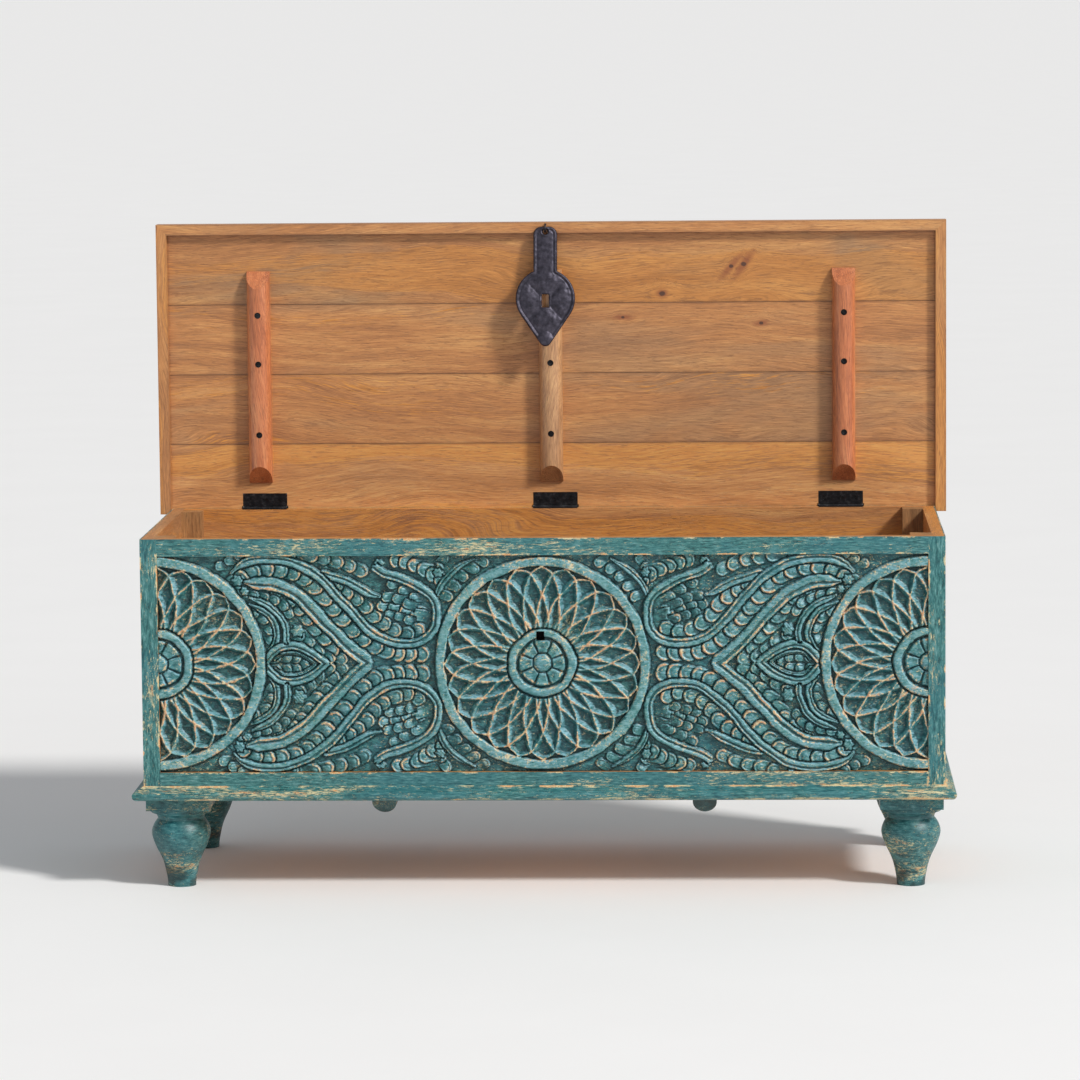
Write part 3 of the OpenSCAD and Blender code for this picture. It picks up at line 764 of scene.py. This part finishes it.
PANEL_PITCH = 1.17          # of the grid of the carved face, in millimetres
GROUND_DEPTH = 9.0          # of the ground of the carving under the face of the frame, in millimetres


def widened(lines, margin):
    """Grid lines with further ones past each end."""
    further = PANEL_PITCH * np.arange(1, margin + 1)
    return np.concatenate([lines[0] - further[::-1], lines, lines[-1] + further])


def carved_piece(name, u0, u1, quarter, material):
    """One stretch of the panel: a carved face on a closed board, and the mortise where it lies there."""
    hole_u = [MORTISE_CENTRE[0] - MORTISE_SIZE[0] / 2, MORTISE_CENTRE[0] + MORTISE_SIZE[0] / 2]
    hole_v = [MORTISE_CENTRE[1] - MORTISE_SIZE[1] / 2, MORTISE_CENTRE[1] + MORTISE_SIZE[1] / 2]
    holed = u0 < hole_u[0] and hole_u[1] < u1
    breaks_u = [u0, *hole_u, u1] if holed else [u0, u1]
    breaks_v = [-half_v, *hole_v, half_v] if holed else [-half_v, half_v]
    us, vs = stops(breaks_u, PANEL_PITCH), stops(breaks_v, PANEL_PITCH)
    nu, nv = len(us), len(vs)
    margin = 12             # more lines past each end, so that the blur is right at the joins
    uu, vv = np.meshgrid(widened(us, margin), widened(vs, margin))
    wide, rubbing = panel_relief(quarter, uu, vv)
    inner = slice(margin, -margin)
    height = wide[inner, inner]
    ridge = np.clip(rubbing, 0, 1)[inner, inner]
    raised = np.clip(wide / RELIEF, 0, 1)[inner, inner]
    # Painted shade: darker where a place lies below its blurred surroundings and on the low ground, for the
    # grooves
    groove_shade = np.clip((blur(wide, 2) - wide) / 3.0 + 0.22 * (1 - ease((wide + 1.6) / 2)), 0, 1)[inner, inner]
    # Painted light: how far each place faces up and right, for the painted highlights and shade of the
    # carving
    climb_v, climb_u = np.gradient(wide, PANEL_PITCH)
    light_facing = np.clip(0.5 - 0.30 * climb_u - 0.36 * climb_v, 0, 1)[inner, inner]

    def point(u, v, y):
        return (field_centre[0] + u * mm, y, field_centre[1] + v * mm)

    front = [point(u, v, FRONT_Y + (GROUND_DEPTH - h) * mm)
             for v, row in zip(vs, height) for u, h in zip(us, row)]

    def at(i, j):
        return j * nu + i

    cut = (np.searchsorted(us, hole_u[0] - 1e-6), np.searchsorted(us, hole_u[1] - 1e-6),
           np.searchsorted(vs, hole_v[0] - 1e-6), np.searchsorted(vs, hole_v[1] - 1e-6))
    faces = [(at(i, j), at(i + 1, j), at(i + 1, j + 1), at(i, j + 1))
             for j in range(nv - 1) for i in range(nu - 1)
             if not (holed and cut[0] <= i < cut[1] and cut[2] <= j < cut[3])]
    carved = len(faces)
    marks_u = [0, cut[0], cut[1], nu - 1] if holed else [0, nu - 1]
    marks_v = [0, cut[2], cut[3], nv - 1] if holed else [0, nv - 1]
    back = {}
    for b, j in enumerate(marks_v):
        for a, i in enumerate(marks_u):
            back[a, b] = len(front) + len(back)
    verts = front + [point(us[i], vs[j], panel_high.y) for j in marks_v for i in marks_u]
    last_a, last_b = len(marks_u) - 1, len(marks_v) - 1
    faces += [(back[a, b], back[a, b + 1], back[a + 1, b + 1], back[a + 1, b])
              for a in range(last_a) for b in range(last_b) if not (holed and a == 1 and b == 1)]
    columns = [at(0, j) for j in range(nv)], [at(nu - 1, j) for j in range(nv)]
    rows = [at(i, 0) for i in range(nu)], [at(i, nv - 1) for i in range(nu)]
    faces.append((*columns[0], *[back[0, b] for b in range(last_b, -1, -1)]))
    faces.append((*reversed(columns[1]), *[back[last_a, b] for b in range(last_b + 1)]))
    faces.append((*reversed(rows[0]), *[back[a, 0] for a in range(last_a + 1)]))
    faces.append((*rows[1], *[back[a, last_b] for a in range(last_a, -1, -1)]))
    if holed:
        low, high = range(cut[0], cut[1] + 1), range(cut[2], cut[3] + 1)
        faces.append((*[at(cut[0], j) for j in reversed(high)], back[1, 1], back[1, 2]))
        faces.append((*[at(cut[1], j) for j in high], back[2, 2], back[2, 1]))
        faces.append((*[at(i, cut[2]) for i in low], back[2, 1], back[1, 1]))
        faces.append((*[at(i, cut[3]) for i in reversed(low)], back[1, 2], back[2, 2]))
    smooth = [k < carved for k in range(len(faces))]
    piece = new_piece(name, verts, faces, material, "chest", smooth)
    for label, values in (("ridge", ridge), ("groove_shade", groove_shade), ("raised", raised), ("light_facing", light_facing)):
        flat = np.zeros(len(verts), np.float32)
        flat[:height.size] = values.ravel()
        piece.data.attributes.new(label, "FLOAT", "POINT").data.foreach_set("value", flat)
    return piece


def mortise_shadow_sheet():
    """A near-black sheet of painted shadow just inside the back of the panel, over the lock mortise,
    darkening what shows through the hole.
    """
    near, far = panel_high.y - 1.6 * mm, panel_high.y - 0.4 * mm
    x0, x1 = MORTISE_X - MORTISE_W / 2, MORTISE_X + MORTISE_W / 2
    z0, z1 = MORTISE_Z - MORTISE_H / 2, MORTISE_Z + MORTISE_H / 2
    verts = [(x, y, z) for y in (near, far) for x, z in ((x0, z0), (x1, z0), (x1, z1), (x0, z1))]
    faces = [(0, 1, 2, 3), (7, 6, 5, 4), (0, 4, 5, 1), (1, 5, 6, 2), (2, 6, 7, 3), (3, 7, 4, 0)]
    t = Tree("mortise_shadow")
    # Painted shadow: two near-blacks mottled by noise
    shadow_mottle = t.noise(t.place, 300.0, 3.0)
    material = t.finish(t.mix(shadow_mottle, srgb(6, 6, 7), srgb(14, 12, 11)), 0.95)
    new_piece("mortise_shadow_sheet", verts, faces, material, "chest", [False] * 6)


def carved_panel():
    """The carved panel in three stretches, side by side."""
    quarter = carve_quarter()
    quarter.rub = blur(quarter.rub, 1)
    material = carved_paint("carved_teal_paint")
    cuts = np.linspace(-half_u, half_u, 4)
    pieces = [carved_piece(f"carved_panel_{place}", a, b, quarter, material)
              for place, a, b in zip(("left", "middle", "right"), cuts[:-1], cuts[1:])]
    for piece in pieces:
        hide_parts("front_carved_panel")


# ---- Hasp: drawn in millimetres from the middle of its ring, X across and Y up the plate ----

HASP_TILT = 10.0            # degrees off upright
STRAP_W = 36.0              # width of the strap
STRAP_TOP = 2.0             # top of the strap
CORNER_R = 12.0             # of the two corners at the top of the strap
HEAD_R = 45.0               # of the round head
HEAD_Y = -107.0             # middle of the round head
SLOT_Y = -111.0             # middle of the slot for the staple
SLOT_SIZE = (11.0, 20.0)    # width and height of that slot
TIP_Y = -171.0              # middle of the round tip
TIP_R = 9.0                 # of the round tip
RING_R = 6.0                # from the middle of the ring to the middle of the hole it runs through
HOLE_R = 4.0                # of that hole
PLATE_T = 3.0               # thickness of the plate at its thinnest


def arc(centre, radius, start, end, count):
    """Points along an arc, from one angle in degrees to another."""
    return [(centre[0] + radius * math.cos(math.radians(a)), centre[1] + radius * math.sin(math.radians(a)))
            for a in np.linspace(start, end, count)]


def hasp_outline():
    """Round-cornered strap, round head, and straight flanks down to a small round tip."""
    lean = math.degrees(math.asin((HEAD_R - TIP_R) / (HEAD_Y - TIP_Y)))
    shoulder = math.degrees(math.acos(STRAP_W / 2 / HEAD_R))
    right = arc((STRAP_W / 2 - CORNER_R, STRAP_TOP - CORNER_R), CORNER_R, 90, 0, 12)
    right += arc((0, HEAD_Y), HEAD_R, shoulder, -lean, 70)
    right += arc((0, TIP_Y), TIP_R, -lean, -90, 12)
    left = [(-x, y) for x, y in reversed(right[:-1])]
    return fine_loop(right + left, 1.6)


def fine_loop(points, step):
    """The same closed line with points at most a step apart."""
    loop = []
    for (ax, ay), (bx, by) in zip(points, points[1:] + points[:1]):
        count = max(1, math.ceil(math.hypot(bx - ax, by - ay) / step))
        loop += [(ax + (bx - ax) * k / count, ay + (by - ay) * k / count) for k in range(count)]
    return loop


def inside_loop(points, loop):
    """Which points lie inside a closed line."""
    x, y = points[:, 0], points[:, 1]
    odd = np.zeros(len(points), bool)
    for (ax, ay), (bx, by) in zip(loop, loop[1:] + loop[:1]):
        if ay != by:
            odd ^= ((ay > y) != (by > y)) & (x < (bx - ax) * (y - ay) / (by - ay) + ax)
    return odd


def loop_distance(points, loop):
    """Distance of each point from the nearest point of a line."""
    ends = np.array(loop)
    return np.sqrt(((points[:, None] - ends[None]) ** 2).sum(2)).min(1)


def hasp_relief(points, outline):
    """Height of the front of the plate over its flat back."""
    x, y = points[:, 0], points[:, 1]
    rim = loop_distance(points, outline)
    along = np.arctan2(y - HEAD_Y, x) * HEAD_R
    rope = 0.5 + 0.5 * np.cos((along + y * 0.6) * 2 * np.pi / 4.2)
    border = bump((rim - 2.4) / 2.4) * (1.1 + 0.35 * rope)
    groove = -0.8 * bump((rim - 5.6) / 1.6)
    from_slot = np.hypot(x, (y - SLOT_Y) * 0.9)
    head = ease((48 - from_slot) / 16) * ease((STRAP_TOP - 58 - y) / 12)
    crease = np.abs(np.abs(x) - np.abs(y - SLOT_Y) * 0.92) / 1.36
    dome = head * (2.1 * ease((rim - 4) / 12) * ease(crease / 11) - 0.5 * bump(crease / 3))
    strap = 1.0 * (1 - (x / (STRAP_W / 2)) ** 2) * ease((y + 78) / 20)
    collar = 1.6 * bump((np.hypot(x, y + RING_R) - HOLE_R - 2.2) / 2.4)
    tip = 3.2 * np.sqrt(np.clip(1 - (np.hypot(x, y - TIP_Y) / (TIP_R + 4)) ** 2, 0, 1))
    slot_lip = np.maximum(np.abs(x) - SLOT_SIZE[0] / 2, np.abs(y - SLOT_Y) - SLOT_SIZE[1] / 2)
    lip = 0.7 * bump((slot_lip - 1.5) / 2.0)
    hammered = 0.22 * waver(x, y, 31, 1.0, 14) + 0.1 * waver(x, y, 32, 1.0, 5)
    height = PLATE_T + np.maximum(border, tip) + groove * (tip < 0.3) + dome + strap + collar + lip + hammered
    return height - 1.1 * ease((0.9 - rim) / 0.9)


def hasp():
    """The hasp as one closed plate, hanging where the CAD hasp hangs."""
    outline = hasp_outline()
    half_w, half_h = SLOT_SIZE[0] / 2, SLOT_SIZE[1] / 2
    slot = fine_loop([(-half_w, SLOT_Y - half_h), (half_w, SLOT_Y - half_h),
                      (half_w, SLOT_Y + half_h), (-half_w, SLOT_Y + half_h)], 1.4)
    hole = arc((0, -RING_R), HOLE_R, 0, 345, 24)
    loops = [outline, slot, hole]
    grid = np.array([(x, y) for y in np.arange(TIP_Y - TIP_R, STRAP_TOP, 1.25)
                     for x in np.arange(-HEAD_R, HEAD_R + 1, 1.25)])
    keep = inside_loop(grid, outline) & (loop_distance(grid, outline) > 0.75)
    for gap in (slot, hole):
        keep &= ~inside_loop(grid, gap) & (loop_distance(grid, gap) > 0.75)
    flat, edges = [], []
    for loop in loops:
        start = len(flat)
        flat += loop
        edges += [(start + k, start + (k + 1) % len(loop)) for k in range(len(loop))]
    flat += [tuple(p) for p in grid[keep]]
    made = delaunay_2d_cdt([Vector(p) for p in flat], edges, [], 0, 1e-5)
    points = np.array([tuple(p) for p in made[0]])
    faces = np.array([f for f in made[2]])
    middles = points[faces].mean(1)
    good = inside_loop(middles, outline) & ~inside_loop(middles, slot) & ~inside_loop(middles, hole)
    faces = faces[good]
    area = np.cross(points[faces[:, 1]] - points[faces[:, 0]], points[faces[:, 2]] - points[faces[:, 0]])
    faces[area < 0] = faces[area < 0][:, ::-1]
    count = len(points)
    top = hasp_relief(points, outline) - PLATE_T / 2
    verts = [(x, y, z) for (x, y), z in zip(points, top)] + [(x, y, -PLATE_T / 2) for x, y in points]
    solid = [tuple(f) for f in faces] + [tuple(f[::-1] + count) for f in faces]
    sides = {}
    for f in faces:
        for a, b in ((f[0], f[1]), (f[1], f[2]), (f[2], f[0])):
            sides[a, b] = True
    walls = [(b, a, a + count, b + count) for a, b in sides if (b, a) not in sides]
    smooth = [True] * (2 * len(faces)) + [False] * len(walls)
    material = iron("hammered_hasp_iron", srgb(70, 67, 78), srgb(92, 88, 100), rough=0.46, pits=0.0002)
    ring = next(j for j in frame["joints"] if j["name"] == "hasp_swing")["pos_m"]
    place = Matrix.Translation(ring) @ Euler((math.radians(90 - HASP_TILT), 0, 0)).to_matrix().to_4x4()
    verts = [tuple(place @ (Vector(v) * mm)) for v in verts]
    piece = new_piece("hasp_plate", verts, solid + walls, material, "hasp", smooth)
    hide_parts("hasp")


# ---- Dressing the CAD nodes ----


def dress_body():
    for k, side in enumerate(("left", "right")):
        name = f"front_{side}_stile"
        dress(name, painted_board(f"paint_{name}", "z", "z", 11 + k, *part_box(name)))
        for level in ("lower", "middle", "upper"):
            board = f"{side}_board_{level}"
            dress(board, painted_board(f"paint_{board}", "y", "y", 30 + 3 * k + len(level), *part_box(board)))
        for place in ("front", "back"):
            foot = f"foot_{place}_{side}"
            foot_seed = 50 + 7 * k + len(place)
            dress(foot, painted(f"paint_{foot}", "round", foot_seed, wear=0.05, shade=0.35, foot=True))
            post = f"post_{place}_{side}"
            dress(post, wood(f"wood_{post}", "z", 70 + 5 * k + len(place), POST))
        # Painted shade: the bearers under the body are darkened nearly all over
        dress(f"bearer_{side}", painted(f"paint_bearer_{side}", "y", 64 + k, wear=0.1, shade=0.9))
    for name, seed in (("front_top_rail", 14), ("front_bottom_rail", 15)):
        dress(name, painted_board(f"paint_{name}", "x", "x", seed, *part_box(name)))
    for seed, level in enumerate(("lower", "middle", "upper")):
        board = f"back_board_{level}"
        dress(board, painted_board(f"paint_{board}", "x", "x", 24 + seed, *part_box(board)))
        round_edges(board, 0.6 * mm)
    for seed, part in enumerate(("front", "left", "right")):
        name = f"base_moulding_{part}"
        strokes = "x" if part == "front" else "y"
        dress(name, painted(f"paint_{name}", strokes, 41 + seed, *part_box(name), wear=0.06, shade=0.15))
        round_edges(name, 0.8 * mm)
    for i in range(1, 5):
        name = f"floor_board_{i}"
        dress(name, wood(f"wood_{name}", "x", 80 + i))
        round_edges(name, 0.6 * mm)
    for name in nodes:
        if name.startswith(("front_left", "front_right", "front_top", "front_bottom", "left_board",
                            "right_board")):
            round_edges(name, 0.9 * mm)
        if name.startswith(("post_", "foot_", "bearer_")):
            round_edges(name, 1.0 * mm)


LID_PLANKS = {
    "lid_plank_1": dict(seed=1, orange=0.55, grey=0.25, tones=LIGHT_MANGO),
    "lid_plank_2": dict(seed=2, orange=0.75, grey=0.55),
    "lid_plank_3": dict(seed=5, orange=0.80, grey=0.45),
    "lid_plank_4": dict(seed=9, orange=0.40, grey=0.75, tones=DEEP_MANGO),
}
# Knots of each plank: distance right of the middle and up from the plank's lower edge, size, lean and stretch
KNOTS = {
    "lid_plank_4": [((275, 54), 3.5, 48, 4.5), ((294, 57), 4, 55, 4), ((170, 13), 4.5, 0, 1.2)],
    "lid_plank_3": [((320, 74), 3, 10, 2.5), ((110, 84), 2.5, 0, 4)],
}


def dress_lid():
    for name, look in LID_PLANKS.items():
        low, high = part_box(name)
        knots = [((x * mm, low.z + up * mm), size * mm, lean, stretch)
                 for (x, up), size, lean, stretch in KNOTS.get(name, [])]
        dress(name, wood(f"wood_{name}", "x", knots=knots, gloss=0.06, box=(low, high), **look))
        round_edges(name, 0.8 * mm)
    for seed, (part, grain) in enumerate((("front", "x"), ("left", "z"), ("right", "z"))):
        name = f"lid_moulding_{part}"
        dress(name, wood(f"wood_{name}", grain, 60 + seed, orange=0.35, grey=0.2, gloss=0.08,
                         box=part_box(name), grime=0.35))
        round_edges(name, 2.2 * mm, 3)
    for seed, (part, tones) in enumerate((("left", RED), ("centre", TAN), ("right", RED))):
        name = f"lid_batten_{part}"
        dress(name, wood(f"wood_{name}", "z", 90 + seed, tones, orange=0.25, grey=0.2, gloss=0.15))
        round_edges(name, 1.2 * mm, 3)


def dress_iron():
    for name in nodes:
        if "_leaf_" in name:
            dress(name, iron(f"iron_{name}", srgb(40, 40, 43), srgb(78, 78, 80), *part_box(name)))
            round_edges(name, 0.35 * mm)
        elif "pin" in name or "screws" in name:
            dress(name, iron(f"iron_{name}", srgb(34, 34, 36), srgb(72, 72, 74)))
    dress("hasp_ring", iron("iron_ring", srgb(52, 50, 56), srgb(98, 96, 100)))


# ---- Floor, light and camera ----


def floor():
    reach = 1500.0
    mesh = bpy.data.meshes.new("floor")
    corners = [(-reach, -reach, 0), (reach, -reach, 0), (reach, reach, 0), (-reach, reach, 0)]
    mesh.from_pydata(corners, [], [(0, 1, 2, 3)])
    ground = bpy.data.objects.new("floor", mesh)
    bpy.context.scene.collection.objects.link(ground)
    t = Tree("pale_floor")
    soft = t.noise(t.place, 3.0, 3.0)
    mesh.materials.append(t.finish(t.mix(soft, srgb(246, 245, 244), srgb(250, 249, 248)), 0.7))


def light(name, kind, place, target, energy, colour=(1, 1, 1), **shape):
    data = bpy.data.lights.new(name, kind)
    data.energy = energy
    data.color = colour
    for key, value in shape.items():
        setattr(data, key, value)
    lamp = bpy.data.objects.new(name, data)
    lamp.location = place
    lamp.rotation_euler = (Vector(target) - Vector(place)).to_track_quat("-Z", "Y").to_euler()
    bpy.context.scene.collection.objects.link(lamp)


def lights():
    middle = (0, 0, 0.5)
    light("key", "SUN", (5.0, -3.8, 5.6), middle, 2.75, (1.0, 0.985, 0.96), angle=math.radians(9))
    light("window", "AREA", (2.6, -3.2, 2.6), middle, 18, (0.96, 0.98, 1.0),
          shape="RECTANGLE", size=1.8, size_y=1.6)
    world = bpy.data.worlds.new("studio")
    bpy.context.scene.world = world
    world.use_nodes = True
    sky = world.node_tree.nodes["Background"]
    sky.inputs["Color"].default_value = (0.93, 0.96, 1.0, 1)
    sky.inputs["Strength"].default_value = 0.40


# Where the camera stands, and how it is turned
CAMERA_PLACE = (0.2955, -7.2169, 1.3116)
CAMERA_YAW = 2.427
CAMERA_PITCH = 6.496
CAMERA_ROLL = -0.515
CAMERA_LENS = 162.99


def camera():
    data = bpy.data.cameras.new("camera")
    data.lens = CAMERA_LENS
    data.sensor_width = 36
    data.clip_end = 4000
    eye = bpy.data.objects.new("camera", data)
    turned = Matrix.Rotation(math.radians(CAMERA_YAW), 3, "Z")
    tipped = Matrix.Rotation(math.radians(90 - CAMERA_PITCH), 3, "X")
    rolled = Matrix.Rotation(math.radians(CAMERA_ROLL), 3, "Z")
    eye.matrix_world = Matrix.Translation(CAMERA_PLACE) @ (turned @ tipped @ rolled).to_4x4()
    bpy.context.scene.collection.objects.link(eye)
    bpy.context.scene.camera = eye


carved_panel()
mortise_shadow_sheet()
hasp()
dress_body()
dress_lid()
dress_iron()
floor()
lights()
camera()
bpy.context.scene.view_settings.view_transform = "Standard"
